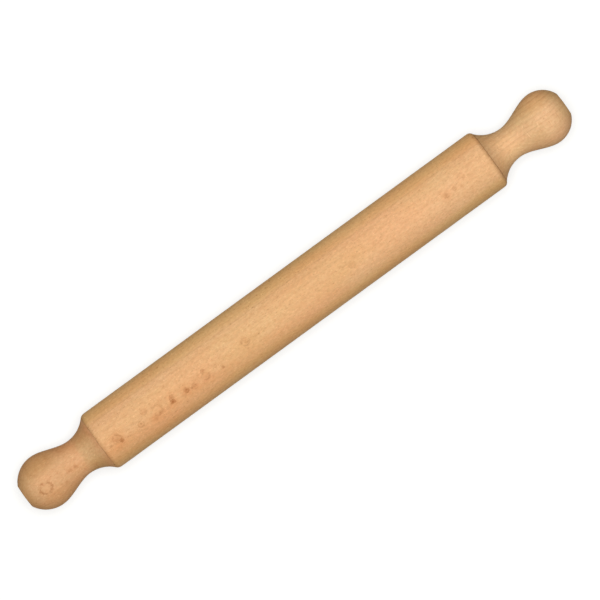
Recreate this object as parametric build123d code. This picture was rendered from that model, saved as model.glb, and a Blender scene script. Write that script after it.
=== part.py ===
from build123d import *
import os

# A beech rolling pin: a straight barrel between two knob handles, each free to turn on a steel stub axle.
# The pin lies along X with its left handle at -X. The origin is the middle of the whole, on its axis.
# Sizes are in millimetres.

# Barrel
barrel_len = 326.0
barrel_dia = 44.0
left_edge_len = 3.4
left_edge_drop = 1.1
right_edge_len = 3.6
right_edge_drop = 2.3

# Handles, measured along the axis from the handle's own base
seam_gap = 0.4
base_step = 0.2
handle_len = 61.2
neck_place = 16.4
left_neck_dia = 26.5
right_neck_dia = 23.5
knob_dia = 39.0
left_nose_len = 18.2
right_nose_len = 16.6
knob_flat_dia = 17.2
knob_rim_round = 0.6
end_ring_width = 1.1
swell_lever_share = 0.333

# Stub axles: a head, a smooth journal, and a thinner ring shank below a shoulder
journal_dia = 8.0
shoulder_step = 1.0
head_clearance = 1.0
head_thick = 3.0
head_edge = 0.6
centre_mark_dia = 2.4
centre_mark_depth = 1.2
shank_len = 33.0
ring_height = 0.25
ring_pitch = 3.0
ring_flank_share = 0.7
tip_cone_len = 2.0
tip_dia = 3.4

# Bores in the barrel
shank_clearance = 0.1
bore_runout = 1.5
drill_cone_len = 1.9

# Washers
thrust_washer_dia = 14.6
thrust_washer_thick = 1.2
thrust_washer_proud = 0.2
thrust_seat_clearance = 0.2
head_washer_thick = 1.0
head_washer_clearance = 0.7
washer_hole_clearance = 0.15

# Bushes
bush_wall = 1.95
bush_sleeve_len = 12.0
bush_flange_thick = 1.5
bush_edge = 0.4
flange_clearance = 0.1
running_clearance = 0.05
end_play = 0.1

# End plugs
plug_len = 7.0
plug_crown = 0.4
plug_edge = 0.5
plug_clearance = 0.05
head_gap = 1.0

overrun = 1.0

# Sizes that follow from those
shank_core_dia = journal_dia - 2 * shoulder_step
shank_ring_dia = shank_core_dia + 2 * ring_height
bush_bore_dia = journal_dia + 2 * running_clearance
bush_sleeve_dia = bush_bore_dia + 2 * bush_wall
socket_dia = knob_flat_dia - 2 * end_ring_width

# Places along the axis, outward from the barrel's end face
base_place = seam_gap
end_place = base_place + handle_len
shoulder_place = thrust_washer_proud
inner_flange_place = shoulder_place + end_play
inner_floor_place = inner_flange_place + bush_flange_thick
plug_floor_place = end_place - plug_len
head_top_place = plug_floor_place - head_gap
head_under_place = head_top_place - head_thick
outer_flange_top_place = head_under_place - head_washer_thick - end_play
outer_floor_place = outer_flange_top_place - bush_flange_thick


def along_x(diameter, start, end):
    # A round bar on the X axis from start to end
    bar = Cylinder(diameter / 2, end - start, align=(Align.CENTER, Align.CENTER, Align.MIN))
    return Pos(start, 0, 0) * Rot(0, 90, 0) * bar


def turned(*outline):
    # The solid that a closed outline above the axis makes when it is turned about X
    return revolve(make_face(outline), Axis.X)


def turned_corners(*corners):
    return turned(Polyline(*corners, close=True))


def at_right(piece):
    return Pos(barrel_len / 2, 0, 0) * piece


def at_left(piece):
    return Rot(0, 0, 180) * at_right(piece)


def axle_bore():
    # The blind hole for the shank, with the drill's cone at its bottom, and the washer's shallow seat
    seat_radius = thrust_washer_dia / 2 + thrust_seat_clearance
    seat_depth = thrust_washer_thick - thrust_washer_proud
    bore_radius = shank_core_dia / 2 + shank_clearance
    bore_depth = shank_len - shoulder_place + bore_runout
    return turned_corners(
        (overrun, 0),
        (overrun, seat_radius),
        (-seat_depth, seat_radius),
        (-seat_depth, bore_radius),
        (-bore_depth, bore_radius),
        (-bore_depth - drill_cone_len, 0),
    )


def make_barrel():
    half = barrel_len / 2
    radius = barrel_dia / 2
    left_rim = (-half, radius - left_edge_drop)
    left_shoulder = (-half + left_edge_len, radius)
    right_shoulder = (half - right_edge_len, radius)
    right_rim = (half, radius - right_edge_drop)
    wood = turned(
        Line((-half, 0), left_rim),
        TangentArc(left_shoulder, left_rim, tangent=(-1, 0)),
        Line(left_shoulder, right_shoulder),
        TangentArc(right_shoulder, right_rim, tangent=(1, 0)),
        Line(right_rim, (half, 0)),
        Line((half, 0), (-half, 0)),
    )
    return wood - at_left(axle_bore()) - at_right(axle_bore())


def make_handle(edge_drop, neck_dia, nose_len):
    base = (base_place, barrel_dia / 2 - edge_drop - base_step)
    neck = (base_place + neck_place, neck_dia / 2)
    knob = (end_place - nose_len, knob_dia / 2)
    rim = (end_place, knob_flat_dia / 2)
    lever = (knob[0] - neck[0]) * swell_lever_share
    neck_lever = (neck[0] + lever, neck[1])
    knob_lever = (knob[0] - lever, knob[1])
    wood = turned(
        Line((base_place, 0), base),
        TangentArc(neck, base, tangent=(-1, 0)),
        Bezier(neck, neck_lever, knob_lever, knob),
        TangentArc(knob, rim, tangent=(1, 0)),
        Line(rim, (end_place, 0)),
        Line((end_place, 0), (base_place, 0)),
    )
    end_rim = wood.edges().filter_by(GeomType.CIRCLE).sort_by(Axis.X)[-1]
    wood = fillet(end_rim, knob_rim_round)
    inner_recess = along_x(socket_dia, base_place - overrun, inner_floor_place)
    bore = along_x(bush_sleeve_dia, base_place - overrun, end_place + overrun)
    end_socket = along_x(socket_dia, outer_floor_place, end_place + overrun)
    return wood - inner_recess - bore - end_socket


def ring_shank():
    # Saw-tooth rings that grip the wood, from under the shoulder to the tip
    core_radius = shank_core_dia / 2
    ring_radius = shank_ring_dia / 2
    shank_end = shoulder_place - shank_len
    plain_len = shank_len - tip_cone_len
    grip_start = shoulder_place - thrust_washer_thick - ring_pitch
    grip_len = plain_len - (shoulder_place - grip_start)
    ring_count = int(grip_len // ring_pitch)
    corners = [(shoulder_place, 0), (shoulder_place, core_radius), (grip_start, core_radius)]
    for ring in range(ring_count):
        crest = grip_start - ring * ring_pitch
        corners.append((crest, ring_radius))
        corners.append((crest - ring_pitch * ring_flank_share, core_radius))
        corners.append((crest - ring_pitch, core_radius))
    corners.append((shank_end + tip_cone_len, core_radius))
    corners.append((shank_end, tip_dia / 2))
    corners.append((shank_end, 0))
    return turned_corners(*corners)


def make_axle_pin():
    journal = along_x(journal_dia, shoulder_place, head_under_place)
    head_dia = socket_dia - 2 * head_clearance
    head = along_x(head_dia, head_under_place, head_top_place)
    head_rim = head.edges().filter_by(GeomType.CIRCLE).sort_by(Axis.X)[-1]
    head = chamfer(head_rim, head_edge)
    centre_mark = turned_corners(
        (head_top_place - centre_mark_depth, 0),
        (head_top_place, centre_mark_dia / 2),
        (head_top_place, 0),
    )
    return ring_shank() + journal + head - centre_mark


def make_washer(outer_dia, hole_dia, start, thick):
    disc = along_x(outer_dia, start, start + thick)
    return disc - along_x(hole_dia, start - overrun, start + thick + overrun)


def make_thrust_washer():
    hole_dia = shank_ring_dia + 2 * washer_hole_clearance
    return make_washer(thrust_washer_dia, hole_dia, shoulder_place - thrust_washer_thick, thrust_washer_thick)


def make_head_washer():
    outer_dia = socket_dia - 2 * head_washer_clearance
    hole_dia = journal_dia + 2 * washer_hole_clearance
    return make_washer(outer_dia, hole_dia, head_under_place - head_washer_thick, head_washer_thick)


def make_bush(flange_start, sleeve_start, sleeve_end):
    flange_dia = socket_dia - 2 * flange_clearance
    flange = along_x(flange_dia, flange_start, flange_start + bush_flange_thick)
    flange = chamfer(flange.edges().filter_by(GeomType.CIRCLE), bush_edge)
    sleeve = along_x(bush_sleeve_dia, sleeve_start, sleeve_end)
    bore = along_x(bush_bore_dia, min(flange_start, sleeve_start) - overrun, end_place)
    return flange + sleeve - bore


def make_inner_bush():
    return make_bush(inner_flange_place, inner_floor_place, inner_floor_place + bush_sleeve_len)


def make_outer_bush():
    return make_bush(outer_floor_place, outer_floor_place - bush_sleeve_len, outer_floor_place)


def make_end_plug():
    # A short dowel with a slight crown on its outer end
    radius = socket_dia / 2 - plug_clearance
    floor_rim = (plug_floor_place, radius - plug_edge)
    side_start = (plug_floor_place + plug_edge, radius)
    side_end = (end_place, radius)
    crown_top = (end_place + plug_crown, 0)
    return turned(
        Line((plug_floor_place, 0), floor_rim),
        Line(floor_rim, side_start),
        Line(side_start, side_end),
        TangentArc(crown_top, side_end, tangent=(0, 1)),
        Line(crown_top, (plug_floor_place, 0)),
    )


sides = {
    "left": (at_left, left_edge_drop, left_neck_dia, left_nose_len),
    "right": (at_right, right_edge_drop, right_neck_dia, right_nose_len),
}

nodes = {"barrel": make_barrel()}
for side, (place, edge_drop, neck_dia, nose_len) in sides.items():
    nodes[side + "_handle"] = place(make_handle(edge_drop, neck_dia, nose_len))
    nodes[side + "_axle_pin"] = place(make_axle_pin())
    nodes[side + "_thrust_washer"] = place(make_thrust_washer())
    nodes[side + "_head_washer"] = place(make_head_washer())
    nodes[side + "_inner_bush"] = place(make_inner_bush())
    nodes[side + "_outer_bush"] = place(make_outer_bush())
    nodes[side + "_end_plug"] = place(make_end_plug())

os.makedirs("parts", exist_ok=True)
for name, solid in nodes.items():
    export_step(solid, os.path.join("parts", name + ".step"))
    print(name, "volume", round(solid.volume, 1), "mm3")
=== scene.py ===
import math
import random

import bmesh
import bpy
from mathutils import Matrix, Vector, noise


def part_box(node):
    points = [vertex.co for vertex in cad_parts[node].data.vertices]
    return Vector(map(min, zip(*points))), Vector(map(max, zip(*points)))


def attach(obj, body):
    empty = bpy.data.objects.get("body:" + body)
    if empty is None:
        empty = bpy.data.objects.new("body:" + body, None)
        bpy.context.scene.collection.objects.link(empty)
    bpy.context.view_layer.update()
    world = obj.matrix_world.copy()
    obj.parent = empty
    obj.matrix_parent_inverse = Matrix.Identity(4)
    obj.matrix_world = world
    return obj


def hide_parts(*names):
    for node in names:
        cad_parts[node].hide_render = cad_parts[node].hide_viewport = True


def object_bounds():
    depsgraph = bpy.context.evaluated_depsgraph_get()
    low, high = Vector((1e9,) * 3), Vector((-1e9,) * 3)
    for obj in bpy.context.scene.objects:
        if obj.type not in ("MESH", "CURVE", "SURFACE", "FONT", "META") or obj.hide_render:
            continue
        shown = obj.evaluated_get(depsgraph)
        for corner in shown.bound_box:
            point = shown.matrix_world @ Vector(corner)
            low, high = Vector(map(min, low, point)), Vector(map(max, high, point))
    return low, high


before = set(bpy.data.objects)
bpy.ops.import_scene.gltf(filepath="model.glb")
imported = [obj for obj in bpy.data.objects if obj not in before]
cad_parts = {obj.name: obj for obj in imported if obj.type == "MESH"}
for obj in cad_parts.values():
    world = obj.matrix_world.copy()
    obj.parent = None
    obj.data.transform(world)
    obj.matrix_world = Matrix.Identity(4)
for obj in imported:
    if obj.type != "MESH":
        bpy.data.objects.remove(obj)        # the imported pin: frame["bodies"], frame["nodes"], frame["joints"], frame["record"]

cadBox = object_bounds()
mm = 0.001

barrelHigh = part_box("barrel")[1]
barrelHalf = barrelHigh[0]
barrelRadius = min(barrelHigh[1], barrelHigh[2])
print("frame loaded, barrel", round(2 * barrelHalf / mm, 1), "mm long")


# Camera: square to the pin from straight above, turned so the pin climbs to the right
cameraSetup = dict(
    pinSlope=36.09,            # degrees that the pin's axis climbs in the picture
    pictureWidth=600,          # pixels
    centreX=294.4,             # where the pin's middle lies in the picture, in pixels
    centreY=300.05,
    mmPerPixel=450 / 667.7,    # the pin's length over its length in the picture
    lens=420,                  # mm, long, so the pin is seen nearly without perspective
    sensor=36,
    clipEnd=100,               # metres
)


def makeCamera(setup):
    slope = math.radians(setup["pinSlope"])
    right = Vector((math.cos(slope), -math.sin(slope), 0))
    up = Vector((math.sin(slope), math.cos(slope), 0))
    pixel = setup["mmPerPixel"] * mm
    middle = setup["pictureWidth"] / 2
    lens = bpy.data.cameras.new("overheadCamera")
    lens.lens = setup["lens"]
    lens.sensor_width = setup["sensor"]
    lens.clip_end = setup["clipEnd"]
    camera = bpy.data.objects.new("overheadCamera", lens)
    camera.location = right * (middle - setup["centreX"]) * pixel + up * (setup["centreY"] - middle) * pixel
    camera.location.z = setup["lens"] / setup["sensor"] * setup["pictureWidth"] * pixel
    camera.rotation_euler = (0, 0, -slope)
    bpy.context.collection.objects.link(camera)
    bpy.context.scene.camera = camera


makeCamera(cameraSetup)
bpy.context.scene.view_settings.view_transform = "Standard"
print("camera made")


# Shader helpers
nodeLayout = dict(perRow=12, wide=180, high=220)    # how new nodes are set out in the shader editor
noiseMiddle = 0.5                                   # the mean of Blender's noise


def addNode(tree, kind, inputs=None, **settings):
    made = tree.nodes.new("ShaderNode" + kind)
    for name, value in settings.items():
        setattr(made, name, value)
    for name, value in (inputs or {}).items():
        socket = made.inputs[name]
        if isinstance(value, bpy.types.NodeSocket):
            tree.links.new(value, socket)
        else:
            socket.default_value = value
    row, column = divmod(len(tree.nodes), nodeLayout["perRow"])
    made.location = (column * nodeLayout["wide"], -row * nodeLayout["high"])
    return made


def calc(tree, operation, a, b=0.0, c=0.0, clamp=False):
    return addNode(tree, "Math", {0: a, 1: b, 2: c}, operation=operation, use_clamp=clamp).outputs[0]


def vectorCalc(tree, operation, a, b):
    return addNode(tree, "VectorMath", {0: a, 1: b}, operation=operation).outputs[0]


def twoProducts(tree, operation, a, b, c, d):
    # a times b and c times d, added or subtracted
    return calc(tree, operation, calc(tree, "MULTIPLY", a, b), calc(tree, "MULTIPLY", c, d))


def addUp(tree, start, *parts):
    # start, plus each value times its weight
    total = start
    for value, weight in parts:
        total = calc(tree, "MULTIPLY_ADD", value, weight, total)
    return total


def ease(tree, value, low, high, toLow=0.0, toHigh=1.0, curve="SMOOTHSTEP"):
    # goes from toLow to toHigh while value goes from low to high, and stays level outside
    return addNode(
        tree, "MapRange",
        {"Value": value, "From Min": low, "From Max": high, "To Min": toLow, "To Max": toHigh},
        interpolation_type=curve,
    ).outputs["Result"]


def blendColour(tree, amount, a, b, mode="MIX"):
    return addNode(tree, "Mix", {0: amount, 6: a, 7: b}, data_type="RGBA", blend_type=mode).outputs[2]


def tinted(tree, colour, amount, tone):
    # colour times an 8-bit tone, as far as amount goes
    return blendColour(tree, amount, colour, srgb(*tone), "MULTIPLY")


def noiseAt(tree, point, scale, detail=2.0, rough=0.5):
    return addNode(
        tree, "TexNoise",
        {"Vector": point, "Scale": scale, "Detail": detail, "Roughness": rough},
    ).outputs


def stretched(tree, point, length, width):
    return vectorCalc(tree, "DIVIDE", point, (length, width, width))


def split(tree, vector):
    return addNode(tree, "SeparateXYZ", {0: vector}).outputs


def srgb(red, green, blue):
    # 8-bit picture colour to the linear colour that sockets take
    def linear(value):
        value /= 255
        return value / 12.92 if value <= 0.04045 else ((value + 0.055) / 1.055) ** 2.4
    return (linear(red), linear(green), linear(blue), 1.0)


def millimetrePoint(tree):
    # where a spot of the piece lies, in mm, and its normal
    coordinates = addNode(tree, "TexCoord").outputs
    point = vectorCalc(tree, "MULTIPLY", coordinates["Object"], (1 / mm, 1 / mm, 1 / mm))
    return point, coordinates["Normal"]


def emptyTree(owner, outputKind):
    # a material's or world's node tree with nothing but its output, and the socket that takes the surface
    owner.use_nodes = True
    tree = owner.node_tree
    tree.nodes.clear()
    return tree, addNode(tree, outputKind).inputs["Surface"]


def startMaterial(name):
    material = bpy.data.materials.new(name)
    tree, surface = emptyTree(material, "OutputMaterial")
    shader = addNode(tree, "BsdfPrincipled")
    tree.links.new(shader.outputs[0], surface)
    return material, tree, shader.inputs


def finishSurface(tree, sockets, colour, roughness, height, look):
    inputs = {"Height": height, "Strength": look["bumpStrength"], "Distance": look["bumpDistance"]}
    tree.links.new(colour, sockets["Base Color"])
    tree.links.new(roughness, sockets["Roughness"])
    tree.links.new(addNode(tree, "Bump", inputs).outputs[0], sockets["Normal"])


# Beech: growth rings round an off-centre pith, fibres along the pin, ray flecks that run out from the pith.
# Lengths and widths are in mm. A depth says how far its layer takes the wood towards the dark tone.
beechFigure = dict(
    wander=dict(long=120, wide=40, detail=1.5, rough=0.5, most=2.6),                  # slow sway of the grain
    rings=dict(lateStart=0.45, lateEnd=0.96, faintest=0.3, varies=0.9),
    fibre=dict(long=5, wide=0.5, detail=3.0, rough=0.6, depth=0.24),
    pores=dict(long=1.1, wide=0.13, detail=1.0, rough=0.5, start=0.60, full=0.74, depth=0.10),
    clouds=dict(long=2.7, wide=1.4, detail=2.5, rough=0.6, depth=0.66, tint=0.35),    # soft mottling
    patches=dict(long=75, wide=22, detail=2.0, rough=0.5, depth=0.10, tint=0.5),
    flecks=dict(long=1.8, wide=0.36, deep=9, full=0.14, edge=0.50, leftOut=0.08),
    dashes=dict(long=3.6, wide=1.0, deep=16, full=0.12, edge=0.44, leftOut=0.60, share=0.75),
    glints=dict(long=2.5, wide=0.8, deep=14, full=0.12, edge=0.52, leftOut=0.55, depth=0.44),    # pale flecks
    rayDistance=70,                     # mm from the pith at which these three have their widths
    leftOutSoft=0.12, rayFaintest=0.25,
    evenTone=0.22,                      # how dark the wood is before any layer
    tintFrom=0.40, tintFull=0.66,       # where in their noise patches and clouds turn pink or straw
    pink=(255, 238, 230), straw=(249, 252, 241),
    knotBrown=(158, 92, 42), knotGlow=(246, 204, 168), glowShare=0.6,
    endTone=(205, 190, 167), endPower=2.0,
    # the handling grime and painted shade by the seam: its tone, its least share and how much it varies with
    # the clouds
    grimeAndShadeTone=(196, 188, 178), grimeAndShadeLeast=0.55, grimeAndShadeVaries=0.9,
    roughness=dict(plain=0.58, fibre=0.16, rays=-0.10, endGrain=0.14),
    relief=dict(fibre=0.5, toolMarks=0.35, pores=-0.35, rays=-0.2, knots=-0.5),
    toolPitch=0.7,
)


def makeBeechGroup(figure):
    tree = bpy.data.node_groups.new("beech", "ShaderNodeTree")
    taken = dict(
        Vector=("Point", "Normal", "Seed"),
        Color=("Light", "Dark"),
        Float=(
            "Pith Y", "Pith Z", "Ring Width", "Ring Depth", "Fleck Depth", "End Grain", "Drift", "Grime And Shade",
            "Knot", "Knot Glow",
        ),
    )
    returned = dict(Color=("Colour",), Float=("Roughness", "Height"))
    for way, sockets in (("INPUT", taken), ("OUTPUT", returned)):
        for kind, names in sockets.items():
            for name in names:
                tree.interface.new_socket(name, in_out=way, socket_type="NodeSocket" + kind)
    given = tree.nodes.new("NodeGroupInput").outputs
    result = tree.nodes.new("NodeGroupOutput").inputs
    seeded = vectorCalc(tree, "ADD", given["Point"], given["Seed"])

    def grainNoise(layer):
        place = stretched(tree, seeded, layer["long"], layer["wide"])
        return noiseAt(tree, place, 1.0, layer["detail"], layer["rough"])

    # Depth from the pith and angle round it, both swayed a little
    sway = vectorCalc(tree, "SUBTRACT", grainNoise(figure["wander"])["Color"], (noiseMiddle,) * 3)
    swing = 2 * figure["wander"]["most"]
    sway = vectorCalc(tree, "MULTIPLY", sway, (0, swing, swing))
    swayed = split(tree, vectorCalc(tree, "ADD", given["Point"], sway))
    across = calc(tree, "SUBTRACT", swayed["Y"], given["Pith Y"])
    upward = calc(tree, "SUBTRACT", swayed["Z"], given["Pith Z"])
    depth = calc(tree, "SQRT", twoProducts(tree, "ADD", across, across, upward, upward))
    angle = calc(tree, "ARCTAN2", upward, across)

    # Growth rings, each a little different in strength, which bend round the knots
    rings = figure["rings"]
    ringPlace = calc(tree, "ADD", calc(tree, "DIVIDE", depth, given["Ring Width"]), given["Knot Glow"])
    ringShare = calc(tree, "FRACT", ringPlace)
    darkening = ease(tree, ringShare, rings["lateStart"], rings["lateEnd"])
    ending = ease(tree, ringShare, rings["lateEnd"], 1.0, 1.0, 0.0)
    ringTone = addNode(tree, "TexWhiteNoise", {"W": calc(tree, "FLOOR", ringPlace)}, noise_dimensions="1D")
    ringTone = calc(tree, "MULTIPLY_ADD", ringTone.outputs["Value"], rings["varies"], rings["faintest"])
    lateWood = calc(tree, "MULTIPLY", calc(tree, "MULTIPLY", darkening, ending), ringTone)

    fibre = grainNoise(figure["fibre"])["Fac"]
    pores = ease(tree, grainNoise(figure["pores"])["Fac"], figure["pores"]["start"], figure["pores"]["full"])
    clouds = grainNoise(figure["clouds"])
    cloudTints = split(tree, clouds["Color"])
    patches = split(tree, grainNoise(figure["patches"])["Color"])

    # Ray flecks, in places counted round the pith
    def fleckLayer(layer):
        place = addNode(tree, "CombineXYZ", {
            "X": calc(tree, "DIVIDE", swayed["X"], layer["long"]),
            "Y": calc(tree, "MULTIPLY", angle, figure["rayDistance"] / layer["wide"]),
            "Z": calc(tree, "DIVIDE", depth, layer["deep"]),
        }).outputs[0]
        cells = addNode(
            tree, "TexVoronoi",
            {"Vector": vectorCalc(tree, "ADD", place, given["Seed"]), "Scale": 1.0, "Randomness": 1.0},
            distance="MANHATTAN",
        ).outputs
        mark = ease(tree, cells["Distance"], layer["full"], layer["edge"], 1.0, 0.0)
        pick = split(tree, cells["Color"])
        picked = ease(tree, pick["X"], layer["leftOut"], layer["leftOut"] + figure["leftOutSoft"])
        strength = calc(tree, "MULTIPLY_ADD", pick["Y"], 1 - figure["rayFaintest"], figure["rayFaintest"])
        return calc(tree, "MULTIPLY", calc(tree, "MULTIPLY", mark, picked), strength)

    flecks = fleckLayer(figure["flecks"])
    dashes = calc(tree, "MULTIPLY", fleckLayer(figure["dashes"]), figure["dashes"]["share"])
    rays = calc(tree, "ADD", flecks, dashes, clamp=True)
    glints = fleckLayer(figure["glints"])

    # Colour
    def offMiddle(value):
        return calc(tree, "SUBTRACT", value, noiseMiddle)

    shade = addUp(
        tree, calc(tree, "MULTIPLY", lateWood, given["Ring Depth"]),
        (offMiddle(fibre), figure["fibre"]["depth"]),
        (offMiddle(clouds["Fac"]), figure["clouds"]["depth"]),
        (offMiddle(patches["X"]), figure["patches"]["depth"]),
        (rays, given["Fleck Depth"]),
        (pores, figure["pores"]["depth"]),
        (glints, -figure["glints"]["depth"]),
    )
    shade = calc(tree, "ADD", calc(tree, "ADD", shade, given["Drift"]), figure["evenTone"], clamp=True)
    colour = blendColour(tree, shade, given["Light"], given["Dark"])
    for tints, most in ((patches, figure["patches"]["tint"]), (cloudTints, figure["clouds"]["tint"])):
        for channel, tone in (("Y", figure["pink"]), ("Z", figure["straw"])):
            amount = ease(tree, tints[channel], figure["tintFrom"], figure["tintFull"], 0.0, most)
            colour = tinted(tree, colour, amount, tone)
    facing = calc(tree, "ABSOLUTE", split(tree, given["Normal"])["X"])
    endOn = calc(tree, "MULTIPLY", calc(tree, "POWER", facing, figure["endPower"]), given["End Grain"])
    colour = tinted(tree, colour, endOn, figure["endTone"])
    # painted shade and handling grime by the seam, blotchy with the clouds
    blotchy = calc(tree, "MULTIPLY_ADD", clouds["Fac"], figure["grimeAndShadeVaries"], figure["grimeAndShadeLeast"])
    colour = tinted(tree, colour, calc(tree, "MULTIPLY", given["Grime And Shade"], blotchy), figure["grimeAndShadeTone"])
    glow = calc(tree, "MULTIPLY", given["Knot Glow"], figure["glowShare"])
    colour = tinted(tree, colour, glow, figure["knotGlow"])
    colour = blendColour(tree, given["Knot"], colour, srgb(*figure["knotBrown"]))
    tree.links.new(colour, result["Colour"])

    # A sanded, unvarnished surface: rays a little glossier, end grain duller
    rough = figure["roughness"]
    parts = ((fibre, rough["fibre"]), (rays, rough["rays"]), (endOn, rough["endGrain"]))
    tree.links.new(addUp(tree, rough["plain"], *parts), result["Roughness"])

    # Relief: fibres, pores, rays and the faint rings that the cutter left
    relief = figure["relief"]
    along = calc(tree, "DIVIDE", split(tree, seeded)["X"], figure["toolPitch"])
    toolMarks = noiseAt(tree, addNode(tree, "CombineXYZ", {"X": along}).outputs[0], 1.0, 1.0)["Fac"]
    height = addUp(
        tree, calc(tree, "MULTIPLY", toolMarks, relief["toolMarks"]),
        (fibre, relief["fibre"]), (pores, relief["pores"]),
        (rays, relief["rays"]), (given["Knot"], relief["knots"]),
    )
    tree.links.new(height, result["Height"])
    return tree


beechGroup = makeBeechGroup(beechFigure)

# Pin knots, seen end on. Their rim, core and eye lie at shares of the radius.
knotLook = dict(
    lengthwise=0.92,                                        # knots are a little longer along the grain
    ragged=dict(share=0.75, least=0.8, scale=0.9, detail=4.0, rough=0.65),     # of the radius, and in mm
    rim=dict(start=0.50, full=0.80, end=1.08),
    patchy=dict(scale=0.28, detail=1.0, start=0.40, full=0.58, least=0.25),    # the rim isn't dark all round
    core=dict(tone=0.78, start=0.35, end=0.95),
    growth=dict(pitch=0.9, depth=0.10),
    eye=dict(start=0.04, end=0.34, depth=0.35),
    halo=3.0,
    side=(5.0, 10.0),       # mm from the axis where a knot starts to show and shows in full
    largest=8.0,            # mm, the largest radius the look-up holds
)


def steppedRamp(tree, share, stops):
    # a look-up: each stop's three numbers hold from its place to the next
    made = addNode(tree, "ValToRGB", {"Fac": share})
    ramp = made.color_ramp
    ramp.interpolation = "CONSTANT"
    while len(ramp.elements) < len(stops):
        ramp.elements.new(1.0)
    for element, (place, numbers) in zip(ramp.elements, stops):
        element.position = place
        element.color = (*numbers, 1.0)
    return split(tree, made.outputs["Color"])


def knotLayer(tree, point, look, span, knots):
    # the knot nearest along the pin is looked up, in ramps that hold numbers from 0 to 1, and drawn on the
    # side that it comes out of
    low, high = span
    length = high - low
    knots = sorted(knots)
    places = []
    looks = []
    for number, (x, turn, radius, strength, hollow, glow) in enumerate(knots):
        start = low if number == 0 else (knots[number - 1][0] + x) / 2
        stop = (start - low) / length
        places.append((stop, ((x - low) / length, 0.5 + turn / 180, radius / look["largest"])))
        looks.append((stop, (strength, hollow, glow)))
    spot = split(tree, point)
    share = ease(tree, spot["X"], low, high, curve="LINEAR")
    found = steppedRamp(tree, share, places)
    drawn = steppedRamp(tree, share, looks)

    # How far this spot is from the knot's middle, in mm and in shares of its ragged radius
    turn = calc(tree, "MULTIPLY", calc(tree, "SUBTRACT", found["Y"], 0.5), math.pi)
    sine = calc(tree, "SINE", turn)
    cosine = calc(tree, "COSINE", turn)
    along = calc(tree, "SUBTRACT", share, found["X"])
    along = calc(tree, "MULTIPLY", along, length * look["lengthwise"])
    sideways = twoProducts(tree, "SUBTRACT", spot["Y"], cosine, spot["Z"], sine)
    height = twoProducts(tree, "ADD", spot["Y"], sine, spot["Z"], cosine)
    away = calc(tree, "SQRT", twoProducts(tree, "ADD", along, along, sideways, sideways))
    radius = calc(tree, "MULTIPLY", found["Z"], look["largest"])
    ragged = look["ragged"]
    wobble = noiseAt(tree, point, ragged["scale"], ragged["detail"], ragged["rough"])["Fac"]
    wobble = calc(tree, "SUBTRACT", wobble, noiseMiddle)
    most = calc(tree, "MULTIPLY_ADD", radius, ragged["share"], ragged["least"])
    away = calc(tree, "ADD", away, calc(tree, "MULTIPLY", wobble, most))
    reach = calc(tree, "DIVIDE", away, radius)

    # A patchy dark rim, growth rings and an eye
    def fadeOut(start, end, depth=1.0):
        return ease(tree, reach, start, end, depth, 0.0)

    rim = look["rim"]
    patchy = look["patchy"]
    broken = noiseAt(tree, point, patchy["scale"], patchy["detail"])["Fac"]
    broken = ease(tree, broken, patchy["start"], patchy["full"], patchy["least"], 1.0)
    ring = ease(tree, reach, rim["start"], rim["full"])
    ring = calc(tree, "MULTIPLY", ring, fadeOut(rim["full"], rim["end"]))
    ring = calc(tree, "MULTIPLY", ring, broken)
    growth = calc(tree, "COSINE", calc(tree, "MULTIPLY", away, 2 * math.pi / look["growth"]["pitch"]))
    core = calc(tree, "MULTIPLY_ADD", growth, look["growth"]["depth"], look["core"]["tone"])
    core = calc(tree, "ADD", core, fadeOut(look["eye"]["start"], look["eye"]["end"], look["eye"]["depth"]))
    core = calc(tree, "MULTIPLY", core, fadeOut(look["core"]["start"], look["core"]["end"]))
    core = calc(tree, "MULTIPLY", core, calc(tree, "SUBTRACT", 1.0, drawn["Y"]))
    thisSide = ease(tree, height, *look["side"])
    strength = calc(tree, "MULTIPLY", drawn["X"], thisSide)
    warmth = calc(tree, "MULTIPLY", drawn["Z"], thisSide)
    mark = calc(tree, "MULTIPLY", calc(tree, "MAXIMUM", ring, core), strength)
    glow = calc(tree, "MULTIPLY", fadeOut(0.0, look["halo"]), warmth)
    return mark, glow


def seamGrimeAndShade(tree, x, reach, most):
    # handling dirt and painted shade where barrel and handle meet, darkest at the seam, which fade out reach
    # mm away from it
    if most == 0:
        return 0.0
    seam = barrelHalf / mm
    return ease(tree, calc(tree, "ABSOLUTE", x), seam + reach, seam, 0.0, most)


beechFinish = dict(
    faintRings=0.3,         # what is left of the rings beyond the place where they fade
    bumpStrength=0.5, bumpDistance=0.03 * mm,
    specular=0.16,          # sanded and never varnished
)


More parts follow.
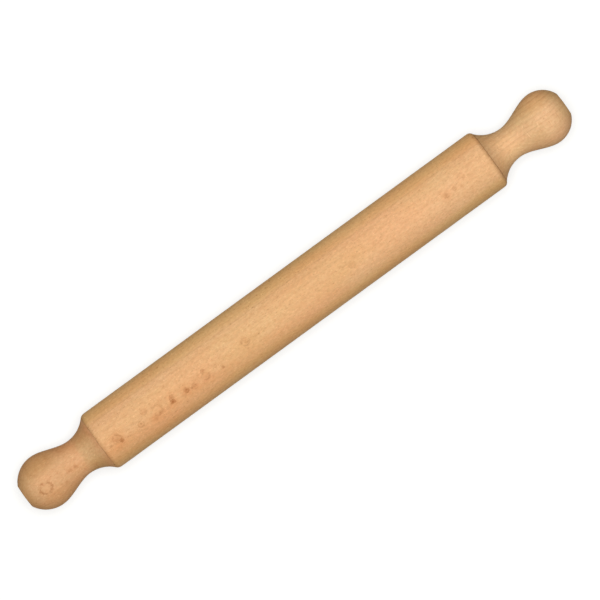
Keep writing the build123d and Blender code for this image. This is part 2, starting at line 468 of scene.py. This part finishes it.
def makeBeech(name, wood):
    material, tree, sockets = startMaterial(name)
    point, normal = millimetrePoint(tree)
    spot = split(tree, point)
    low, high = wood["span"]
    knotMark = 0.0
    knotGlow = 0.0
    for knots in wood["knots"]:
        mark, glow = knotLayer(tree, point, knotLook, wood["span"], knots)
        knotMark = calc(tree, "MAXIMUM", knotMark, mark)
        knotGlow = calc(tree, "MAXIMUM", knotGlow, glow)
    side = calc(tree, "DIVIDE", calc(tree, "SUBTRACT", spot["X"], (low + high) / 2), high - low)
    ringDepth = wood["ringDepth"]
    if "ringsFade" in wood:
        faint = beechFinish["faintRings"] * ringDepth
        ringDepth = ease(tree, spot["Y"], *wood["ringsFade"], faint, ringDepth)
    beech = addNode(tree, "Group", {
        "Point": point, "Normal": normal, "Pith Y": wood["pith"][0], "Pith Z": wood["pith"][1],
        "Ring Width": wood["ringWidth"], "Seed": wood["seed"], "Knot": knotMark, "Knot Glow": knotGlow,
        "Light": srgb(*wood["light"]), "Dark": srgb(*wood["dark"]),
        "Ring Depth": ringDepth, "Fleck Depth": wood["fleckDepth"], "End Grain": wood["endGrain"],
        "Grime And Shade": seamGrimeAndShade(tree, spot["X"], *wood["grimeAndShade"]),
        "Drift": calc(tree, "MULTIPLY", side, -wood["paler"]),
    }, node_tree=beechGroup).outputs
    colour = beech["Colour"]
    # stains, some of them painted shade tints, each multiplied in over an oval area
    for x, halfLength, y, halfWidth, tone in wood["stainsAndShade"]:
        along = calc(tree, "DIVIDE", calc(tree, "SUBTRACT", spot["X"], x), halfLength)
        across = calc(tree, "DIVIDE", calc(tree, "SUBTRACT", spot["Y"], y), halfWidth)
        away = twoProducts(tree, "ADD", along, along, across, across)
        colour = tinted(tree, colour, ease(tree, away, 0.0, 1.0, 1.0, 0.0), tone)
    finishSurface(tree, sockets, colour, beech["Roughness"], beech["Height"], beechFinish)
    sockets["Specular IOR Level"].default_value = beechFinish["specular"]
    return material


print("beech mixed")


# Lathe work: outlines are lists of (place along the axis, radius), in metres
tiny = 1e-7                                             # points closer than this are one point
sanding = dict(sharpest=25, steps=4, cutShare=0.45)     # corners that turn more degrees are rounded


def axialArc(start, end, steps):
    # leaves start along the axis and reaches end on one round arc
    run = end[0] - start[0]
    rise = end[1] - start[1]
    bend = (run * run + rise * rise) / (2 * rise)
    turn = math.atan2(abs(run), abs(bend) - abs(rise))
    points = []
    for step in range(steps + 1):
        angle = turn * step / steps
        x = start[0] + math.copysign(abs(bend) * math.sin(angle), run)
        points.append((x, start[1] + bend * (1 - math.cos(angle))))
    return points


def swellCurve(start, end, steps):
    # an S that leaves and arrives along the axis
    points = []
    for step in range(steps + 1):
        share = step / steps
        lift = share * share * (3 - 2 * share)
        points.append((start[0] + (end[0] - start[0]) * share, start[1] + (end[1] - start[1]) * lift))
    return points


def joinOutline(*runs):
    points = []
    for run in runs:
        for place in run:
            if not points or math.dist(points[-1], place) > tiny:
                points.append(place)
    if math.dist(points[0], points[-1]) < tiny:
        points.pop()
    return points


def softCorners(points, radius, closed):
    # rounds the sharp corners, as sanding does
    softened = []
    count = len(points)
    for place in range(count):
        here = Vector(points[place])
        if not closed and place in (0, count - 1):
            softened.append(tuple(here))
            continue
        inward = here - Vector(points[place - 1])
        outward = Vector(points[(place + 1) % count]) - here
        if inward.angle(outward) < math.radians(sanding["sharpest"]):
            softened.append(tuple(here))
            continue
        cut = min(radius, inward.length * sanding["cutShare"], outward.length * sanding["cutShare"])
        first = here - inward.normalized() * cut
        last = here + outward.normalized() * cut
        for step in range(sanding["steps"] + 1):
            share = step / sanding["steps"]
            softened.append(tuple(first.lerp(here, share).lerp(here.lerp(last, share), share)))
    return softened


def refine(points, longest, closed):
    # divides long straight runs
    refined = []
    count = len(points)
    for place in range(count if closed else count - 1):
        start = Vector(points[place])
        end = Vector(points[(place + 1) % count])
        pieces = max(1, math.ceil((end - start).length / longest))
        refined += [tuple(start.lerp(end, step / pieces)) for step in range(pieces)]
    if not closed:
        refined.append(points[-1])
    return refined


def turnOnLathe(name, outline, sides, closed, relief=None):
    # closed outlines make a ring-shaped solid, open ones start and end on the axis
    mesh = bmesh.new()
    rings = []
    for x, radius in outline:
        if radius < tiny:
            rings.append([mesh.verts.new((x, 0, 0))])
            continue
        ring = []
        for side in range(sides):
            angle = 2 * math.pi * side / sides
            real = radius + (relief(x, angle, radius) if relief else 0)
            ring.append(mesh.verts.new((x, real * math.cos(angle), real * math.sin(angle))))
        rings.append(ring)
    pairs = list(zip(rings, rings[1:]))
    if closed:
        pairs.append((rings[-1], rings[0]))
    for first, second in pairs:
        for side in range(sides):
            corners = [
                first[side % len(first)], first[(side + 1) % len(first)],
                second[(side + 1) % len(second)], second[side % len(second)],
            ]
            mesh.faces.new(list(dict.fromkeys(corners)))    # a triangle where one ring is a point on the axis
    bmesh.ops.recalc_face_normals(mesh, faces=mesh.faces)
    data = bpy.data.meshes.new(name)
    mesh.to_mesh(data)
    mesh.free()
    data.polygons.foreach_set("use_smooth", [True] * len(data.polygons))
    piece = bpy.data.objects.new(name, data)
    bpy.context.collection.objects.link(piece)
    return piece


def dress(piece, body, node, material):
    piece.data.materials.append(material)
    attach(piece, body)
    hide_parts(node)


# Barrel. The pith's place is in mm across and up from the axis. Grime and shade is the reach in mm of the
# handling grime and painted shade by the seam, minus towards the barrel's middle, and its strength. The
# span is where the piece starts and ends along the pin in mm, and paler says how much paler the wood gets
# on the way. A stain is an area of another tone, a real stain or painted shade: its middle along the pin
# and its half length, its middle and half width across, in mm, and the tone. Knots have their place along
# the pin in mm, turn from straight up in degrees, radius in mm, strength, how hollow they are and how warm
# the wood round them is. The later lists of knots hold the spots beside and in the first ones.
barrelPlan = dict(
    leftEdgeLen=3.4 * mm, leftEdgeDrop=1.1 * mm, rightEdgeLen=3.6 * mm, rightEdgeDrop=2.3 * mm, edgeSteps=8,
    seatRadius=7.5 * mm, seatDepth=1.0 * mm, boreRadius=3.1 * mm, boreDepth=34.3 * mm, coneLen=1.9 * mm,
    step=1.3 * mm, sides=144, cornerRadius=0.35 * mm,
    reliefFrom=9.0 * mm,                                    # radius beyond which the surface is uneven
    waveDepth=0.05 * mm, waveLen=9 * mm,
    rippleDepth=0.018 * mm, rippleLen=2.6 * mm, ripplePlace=(3.7, 1.3),
    dents=dict(seed=7, count=26, depth=0.16 * mm, shallowest=0.3, radius=1.5 * mm, smallest=0.5, span=0.97),
    wood=dict(
        pith=(38.0, -58.0), ringWidth=3.1, ringDepth=0.14, fleckDepth=0.56, endGrain=0.5,
        seed=(13.0, 4.0, 7.0), light=(246, 199, 152), dark=(188, 130, 84), grimeAndShade=(-3.0, 0.25),
        span=(-163.0, 163.0), paler=0.08,
        stainsAndShade=[
            (-120.0, 180.0, -13.5, 8.5, (253, 243, 235)),
            # painted shade tint: a yellower tone along both flanks of the barrel, where they turn away from
            # the lamp
            (0.0, 600.0, 20.0, 9.0, (253, 252, 234)),
            (0.0, 600.0, -21.0, 7.0, (251, 250, 237)),
            (-10.0, 100.0, 3.0, 17.0, (251, 252, 246)),
            (152.0, 26.0, 0.0, 60.0, (253, 250, 246)),
            (-146.0, 22.0, 12.0, 12.0, (254, 250, 248)),
        ],
        knots=[
            [
                (-151, -15, 3.6, 0.46, 0.3, 0.4),
                (-132, -18, 2.4, 0.32, 0.8, 0.0),
                (-126, -2, 2.6, 0.26, 0.4, 0.2),
                (-118, -15, 4.4, 0.28, 1.0, 0.2),
                (-105, -11, 2.0, 0.46, 0.0, 0.4),
                (-94, -16, 2.2, 0.60, 0.0, 0.5),
                (-88, -19, 2.4, 0.26, 0.0, 0.4),
                (-78, -16, 3.2, 0.34, 0.6, 0.3),
                (-65, -22, 1.2, 0.50, 0.0, 0.1),
                (-43, -8, 3.4, 0.36, 0.8, 0.2),
                (45, -8, 3.0, 0.17, 0.0, 0.1),
                (124, -8, 2.4, 0.34, 0.0, 0.4),
                (139, 3, 2.6, 0.18, 0.7, 0.1),
            ],
            [
                (-157, -18, 1.3, 0.34, 0.0, 0.0),
                (-149, -22, 1.8, 0.62, 0.0, 0.0),
                (-132, -17, 1.0, 0.46, 0.0, 0.2),
                (-125, -4, 1.0, 0.30, 0.0, 0.0),
                (-117, -21, 1.3, 0.42, 0.0, 0.2),
                (-106, -19, 2.0, 0.74, 0.0, 0.5),
                (-90, -19, 1.3, 0.50, 0.0, 0.0),
                (-78, -6, 1.6, 0.36, 0.0, 0.2),
                (-64, -4, 1.1, 0.20, 0.0, 0.0),
                (-42, -12, 1.4, 0.28, 0.0, 0.0),
                (131, -7, 1.7, 0.30, 0.0, 0.2),
            ],
            [
                (-150, -8, 1.3, 0.34, 0.0, 0.0),
                (-122, -25, 1.8, 0.16, 0.0, 0.4),
                (-111, -22, 1.1, 0.30, 0.0, 0.0),
                (-97, -22, 1.5, 0.22, 0.0, 0.0),
                (-87, -19, 1.2, 0.34, 0.0, 0.0),
                (-76, -20, 1.4, 0.34, 0.0, 0.0),
                (136, -12, 1.2, 0.22, 0.0, 0.1),
            ],
        ],
    ),
)


def makeBarrel(plan):
    left = -barrelHalf
    right = barrelHalf
    leftRim = (left, barrelRadius - plan["leftEdgeDrop"])
    leftShoulder = (left + plan["leftEdgeLen"], barrelRadius)
    rightShoulder = (right - plan["rightEdgeLen"], barrelRadius)
    rightRim = (right, barrelRadius - plan["rightEdgeDrop"])

    def bore(face, inward):
        # the washer's seat and the blind hole for the axle
        return [
            (face, plan["seatRadius"]),
            (face + inward * plan["seatDepth"], plan["seatRadius"]),
            (face + inward * plan["seatDepth"], plan["boreRadius"]),
            (face + inward * plan["boreDepth"], plan["boreRadius"]),
            (face + inward * (plan["boreDepth"] + plan["coneLen"]), 0),
        ]

    outline = joinOutline(
        bore(left, 1)[::-1],
        axialArc(leftShoulder, leftRim, plan["edgeSteps"])[::-1],
        axialArc(rightShoulder, rightRim, plan["edgeSteps"]),
        bore(right, -1),
    )
    outline = softCorners(outline, plan["cornerRadius"], False)
    outline = refine(outline, plan["step"], False)
    dentPlan = plan["dents"]
    draw = random.Random(dentPlan["seed"])
    dents = []
    for _ in range(dentPlan["count"]):
        x = draw.uniform(left, right) * dentPlan["span"]
        angle = draw.uniform(0, 2 * math.pi)
        depth = draw.uniform(dentPlan["shallowest"], 1.0) * dentPlan["depth"]
        reach = draw.uniform(dentPlan["smallest"], 1.0) * dentPlan["radius"]
        dents.append((x, angle, depth, reach))

    def relief(x, angle, radius):
        if radius < plan["reliefFrom"]:
            return 0
        wave = noise.noise(Vector((x, math.cos(angle) * radius, math.sin(angle) * radius)) / plan["waveLen"])
        ripple = noise.noise(Vector((x / plan["rippleLen"], *plan["ripplePlace"])))
        drop = (wave - 1) * plan["waveDepth"] / 2 + (ripple - 1) * plan["rippleDepth"] / 2
        for dentX, dentAngle, depth, reach in dents:
            if abs(x - dentX) < reach:
                gap = math.remainder(angle - dentAngle, 2 * math.pi) * radius
                away = math.hypot(x - dentX, gap) / reach
                if away < 1:
                    drop -= depth * (1 - away * away) ** 2
        return drop

    barrel = turnOnLathe("barrel_wood", outline, plan["sides"], False, relief)
    dress(barrel, "barrel", "barrel", makeBeech("barrelBeech", plan["wood"]))


makeBarrel(barrelPlan)
print("barrel turned")


# Handles, measured outward from the barrel's end face. ringsFade says where across the pin the rings
# grow from faint to full. The rest is as on the barrel: grimeAndShade and two of the left handle's stains
# hold painted shade.
handlePlan = dict(
    endPlace=61.6 * mm, neckPlace=16.8 * mm, knobRadius=19.5 * mm, flatRadius=8.6 * mm,
    socketRadius=7.5 * mm, boreRadius=6.0 * mm, innerFloor=1.8 * mm, outerFloor=48.0 * mm,
    neckSteps=22, swellSteps=34, knobSteps=28, step=0.7 * mm, sides=128,
    waveDepth=0.06 * mm, waveLen=8 * mm, rippleDepth=0.03 * mm, rippleLen=2.2 * mm,
    left=dict(
        sign=-1, seam=0.08 * mm, cornerRadius=0.2 * mm, baseRadius=20.8 * mm, neckRadius=13.25 * mm,
        noseLen=18.2 * mm, waveSeed=11.0,
        wood=dict(
            pith=(-44.0, -36.0), ringWidth=2.9, ringDepth=0.10, fleckDepth=0.44, endGrain=0.1,
            seed=(71.0, 29.0, 3.0), light=(235, 189, 144), dark=(181, 122, 77), grimeAndShade=(0.0, 0.0),
            span=(-225.0, -163.0), paler=0.0,
            stainsAndShade=[
                # painted shade tint: greyer and less red in the cove beside the seam
                (-171.5, 8.0, 0.0, 60.0, (241, 252, 250)),
                (-176.0, 20.0, 13.0, 11.0, (242, 227, 214)),
                (-170.0, 10.0, -14.0, 9.0, (248, 240, 232)),
                (-226.0, 9.0, 0.0, 60.0, (246, 241, 231)),
                # painted shade: darker on the knob's +y flank, where the light falls off
                (-204.0, 28.0, 17.0, 15.0, (237, 228, 214)),
                (-204.0, 30.0, -18.0, 13.0, (250, 238, 228)),
                (-181.0, 14.0, -10.0, 9.0, (255, 248, 243)),
            ],
            knots=[
                [
                    (-209, -12, 5.0, 0.52, 1.0, 0.2),
                    (-196, -32, 1.3, 0.22, 0.0, 0.1),
                    (-189, -14, 1.6, 0.34, 0.0, 0.2),
                    (-185, -15, 1.3, 0.38, 0.0, 0.2),
                ],
                [
                    (-212, -4, 1.2, 0.30, 0.0, 0.0),
                    (-206, -20, 1.3, 0.42, 0.0, 0.0),
                    (-182, 4, 1.2, 0.20, 0.0, 0.0),
                ],
            ],
        ),
    ),
    right=dict(
        sign=1, seam=0.12 * mm, cornerRadius=0.5 * mm, baseRadius=19.55 * mm, neckRadius=11.75 * mm,
        noseLen=16.6 * mm, waveSeed=47.0,
        wood=dict(
            pith=(-78.0, 4.0), ringWidth=3.0, ringDepth=0.28, fleckDepth=0.36, endGrain=0.5,
            seed=(5.0, 61.0, 37.0), light=(250, 207, 161), dark=(195, 141, 97), grimeAndShade=(15.0, 0.26),
            span=(163.0, 225.0), paler=0.0, ringsFade=(-9.0, 6.0),
            stainsAndShade=[
                (192.0, 12.0, 0.0, 60.0, (249, 247, 246)),
                (208.0, 22.0, 18.0, 14.0, (248, 236, 224)),
                (179.0, 15.0, 12.0, 9.0, (245, 243, 243)),
                (212.0, 16.0, 0.0, 60.0, (253, 249, 250)),
                (223.0, 8.0, 8.0, 24.0, (248, 252, 250)),
                (196.0, 60.0, 15.0, 13.0, (249, 255, 248)),
            ],
            knots=[],
        ),
    ),
)


def makeHandle(side, plan):
    own = plan[side]
    end = plan["endPlace"]
    base = (own["seam"], own["baseRadius"])
    neck = (plan["neckPlace"], own["neckRadius"])
    knob = (end - own["noseLen"], plan["knobRadius"])
    rim = (end, plan["flatRadius"])
    outline = joinOutline(
        [(own["seam"], plan["socketRadius"])],
        axialArc(neck, base, plan["neckSteps"])[::-1],
        swellCurve(neck, knob, plan["swellSteps"]),
        axialArc(knob, rim, plan["knobSteps"]),
        [
            (end, plan["socketRadius"]),
            (plan["outerFloor"], plan["socketRadius"]),
            (plan["outerFloor"], plan["boreRadius"]),
            (plan["innerFloor"], plan["boreRadius"]),
            (plan["innerFloor"], plan["socketRadius"]),
        ],
    )
    outline = softCorners(outline, own["cornerRadius"], True)
    outline = refine(outline, plan["step"], True)
    outline = [(own["sign"] * (barrelHalf + x), radius) for x, radius in outline]

    def relief(x, angle, radius):
        if radius < plan["flatRadius"]:
            return 0
        spot = Vector((x, math.cos(angle) * radius, math.sin(angle) * radius))
        wave = noise.noise(spot / plan["waveLen"] + Vector((own["waveSeed"], 0, 0)))
        ripple = noise.noise(Vector((x / plan["rippleLen"], own["waveSeed"], 0)))
        return (wave - 1) * plan["waveDepth"] / 2 + (ripple - 1) * plan["rippleDepth"] / 2

    handle = turnOnLathe(side + "_handle_wood", outline, plan["sides"], True, relief)
    beech = makeBeech(side + "HandleBeech", own["wood"])
    dress(handle, side + "_handle", side + "_handle", beech)


for side in ("left", "right"):
    makeHandle(side, handlePlan)
print("handles turned")


# End plugs, with a slight crown and a sanded rim. Their wood is the handle's but for what is given here.
plugPlan = dict(
    radius=7.45 * mm, length=7.0 * mm, crown=0.4 * mm, edge=0.5 * mm, cornerRadius=0.25 * mm,
    crownSteps=12, step=0.8 * mm, sides=96,
    wood=dict(ringDepth=0.4, stainsAndShade=[], knots=[]),
    left=dict(pith=(-6.0, 14.0), ringWidth=1.9, seed=(2.0, 90.0, 44.0)),
    right=dict(pith=(9.0, 12.0), ringWidth=1.7, seed=(33.0, 12.0, 81.0)),
)


def makePlug(side, plan):
    radius = plan["radius"]
    face = handlePlan["endPlace"]
    back = face - plan["length"]
    top = face + plan["crown"]
    crown = []
    for step in range(plan["crownSteps"] + 1):
        share = 1 - step / plan["crownSteps"]
        crown.append((top - plan["crown"] * share ** 2, radius * share))
    body = [(back, 0), (back, radius - plan["edge"]), (back + plan["edge"], radius), (face, radius)]
    outline = softCorners(joinOutline(body, crown), plan["cornerRadius"], False)
    outline = refine(outline, plan["step"], False)
    outline = [(handlePlan[side]["sign"] * (barrelHalf + x), around) for x, around in outline]
    plug = turnOnLathe(side + "_plug_wood", outline, plan["sides"], False)
    wood = {**handlePlan[side]["wood"], **plan["wood"], **plan[side]}
    dress(plug, side + "_handle", side + "_end_plug", makeBeech(side + "PlugBeech", wood))


for side in ("left", "right"):
    makePlug(side, plugPlan)
print("plugs turned")


# Steel inside the handles: fine turning lines and a little staining
steelLook = dict(
    lineLen=9.0, lineDetail=2.0, lineRough=0.6, lineFrom=0.35, lineFull=0.65, lineDull=0.18,
    stainScale=0.22, stainDetail=3.0, stainRough=0.55, stainFrom=0.55, stainFull=0.75, stainMost=0.4,
    bumpStrength=0.35, bumpDistance=0.01 * mm,
)
axleTone = dict(pale=(206, 207, 210), grey=(176, 178, 184), stain=(150, 142, 130), pitch=0.12, rough=0.22)
washerTone = dict(pale=(214, 214, 208), grey=(190, 191, 190), stain=(168, 160, 140), pitch=1.5, rough=0.34)


def makeTurnedSteel(name, look, tone):
    material, tree, sockets = startMaterial(name)
    point, _ = millimetrePoint(tree)
    place = stretched(tree, point, tone["pitch"], look["lineLen"])
    lines = noiseAt(tree, place, 1.0, look["lineDetail"], look["lineRough"])["Fac"]
    stain = noiseAt(tree, point, look["stainScale"], look["stainDetail"], look["stainRough"])["Fac"]
    stain = ease(tree, stain, look["stainFrom"], look["stainFull"], 0.0, look["stainMost"])
    greyer = ease(tree, lines, look["lineFrom"], look["lineFull"])
    colour = blendColour(tree, greyer, srgb(*tone["pale"]), srgb(*tone["grey"]))
    colour = blendColour(tree, stain, colour, srgb(*tone["stain"]))
    gloss = calc(tree, "MULTIPLY_ADD", lines, look["lineDull"], tone["rough"])
    finishSurface(tree, sockets, colour, gloss, lines, look)
    sockets["Metallic"].default_value = 1.0
    return material


# Nylon of the bushes: slightly clouded, with a fine moulded grain
nylonLook = dict(
    pale=(238, 236, 226), deep=(222, 216, 198),
    cloudScale=0.35, cloudDetail=3.0, cloudFrom=0.3, cloudFull=0.7,
    grainScale=6.0, grainDetail=2.0, grainRough=0.7, grainDull=0.2, rough=0.38,
    bumpStrength=0.3, bumpDistance=0.02 * mm,
    throughWeight=0.12, throughRadius=(0.001, 0.0009, 0.0007),    # light that passes through, in metres
)


def makeNylon(name, look):
    material, tree, sockets = startMaterial(name)
    point, _ = millimetrePoint(tree)
    cloud = noiseAt(tree, point, look["cloudScale"], look["cloudDetail"])["Fac"]
    grain = noiseAt(tree, point, look["grainScale"], look["grainDetail"], look["grainRough"])["Fac"]
    deeper = ease(tree, cloud, look["cloudFrom"], look["cloudFull"])
    colour = blendColour(tree, deeper, srgb(*look["pale"]), srgb(*look["deep"]))
    gloss = calc(tree, "MULTIPLY_ADD", grain, look["grainDull"], look["rough"])
    finishSurface(tree, sockets, colour, gloss, grain, look)
    sockets["Subsurface Weight"].default_value = look["throughWeight"]
    sockets["Subsurface Radius"].default_value = look["throughRadius"]
    return material


def dressSolid(node, material):
    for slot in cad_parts[node].material_slots:
        slot.material = material


axleSteel = makeTurnedSteel("axleSteel", steelLook, axleTone)
washerSteel = makeTurnedSteel("washerSteel", steelLook, washerTone)
bushNylon = makeNylon("bushNylon", nylonLook)
for side in ("left", "right"):
    dressSolid(side + "_axle_pin", axleSteel)
    dressSolid(side + "_thrust_washer", washerSteel)
    dressSolid(side + "_head_washer", washerSteel)
    dressSolid(side + "_inner_bush", bushNylon)
    dressSolid(side + "_outer_bush", bushNylon)
print("axles, washers and bushes dressed")


# Floor and light
studio = dict(
    floorSize=60.0,                  # metres
    plainFrom=(0.5, 1.6),            # metres from the pin: beyond its shadow the floor turns plain white
    white=(1, 1, 1, 1),
    glow=0.66,                       # how much of the white the camera sees as given, the rest is lit
    litWhite=(0.42, 0.42, 0.42, 1),
    bounce=(0.20, 0.195, 0.16, 1),   # what the floor sends back to the pin
    lampHeight=3.0, lampSize=2.0, lampPower=76.5, lampShift=(0.05, 0.05),
    lampColour=(0.994, 0.97, 0.975),
    sky=(0.95, 1.0, 0.80, 1), skyStrength=0.26,
)


def seenRay(tree):
    # 1 on rays from the camera, straight or by way of gloss or glass
    path = addNode(tree, "LightPath").outputs
    seen = calc(tree, "MAXIMUM", path["Is Camera Ray"], path["Is Glossy Ray"])
    return calc(tree, "MAXIMUM", seen, path["Is Transmission Ray"])


def mixShaders(tree, amount, first, second):
    return addNode(tree, "MixShader", {0: amount, 1: first.outputs[0], 2: second.outputs[0]})


def makeFloor(setup):
    mesh = bmesh.new()
    bmesh.ops.create_grid(mesh, x_segments=1, y_segments=1, size=setup["floorSize"] / 2)
    data = bpy.data.meshes.new("paleFloor")
    mesh.to_mesh(data)
    mesh.free()
    floor = bpy.data.objects.new("paleFloor", data)
    floor.location.z = cadBox[0][2]
    bpy.context.collection.objects.link(floor)
    material = bpy.data.materials.new("paleFloor")
    tree, surface = emptyTree(material, "OutputMaterial")
    glow = addNode(tree, "Emission", {"Color": setup["white"], "Strength": setup["glow"]})
    lit = addNode(tree, "BsdfDiffuse", {"Color": setup["litWhite"]})
    near = addNode(tree, "AddShader", {0: glow.outputs[0], 1: lit.outputs[0]})
    far = addNode(tree, "Emission", {"Color": setup["white"], "Strength": 1.0})
    place = addNode(tree, "TexCoord").outputs["Object"]
    away = addNode(tree, "VectorMath", {0: place}, operation="LENGTH").outputs["Value"]
    shown = mixShaders(tree, ease(tree, away, *setup["plainFrom"]), near, far)
    bounce = addNode(tree, "BsdfDiffuse", {"Color": setup["bounce"]})
    tree.links.new(mixShaders(tree, seenRay(tree), bounce, shown).outputs[0], surface)
    data.materials.append(material)


def makeLight(setup):
    lamp = bpy.data.lights.new("softbox", "AREA")
    lamp.shape = "DISK"
    lamp.size = setup["lampSize"]
    lamp.energy = setup["lampPower"]
    lamp.color = setup["lampColour"]
    box = bpy.data.objects.new("softbox", lamp)
    box.location = (*setup["lampShift"], setup["lampHeight"])
    box.rotation_euler = box.location.to_track_quat("Z", "Y").to_euler()
    bpy.context.collection.objects.link(box)
    world = bpy.data.worlds.new("paleRoom")
    bpy.context.scene.world = world
    tree, surface = emptyTree(world, "OutputWorld")
    sky = addNode(tree, "Background", {"Color": setup["sky"], "Strength": setup["skyStrength"]})
    white = addNode(tree, "Background", {"Color": setup["white"], "Strength": 1.0})
    tree.links.new(mixShaders(tree, seenRay(tree), sky, white).outputs[0], surface)


makeFloor(studio)
makeLight(studio)
print("floor and light set")
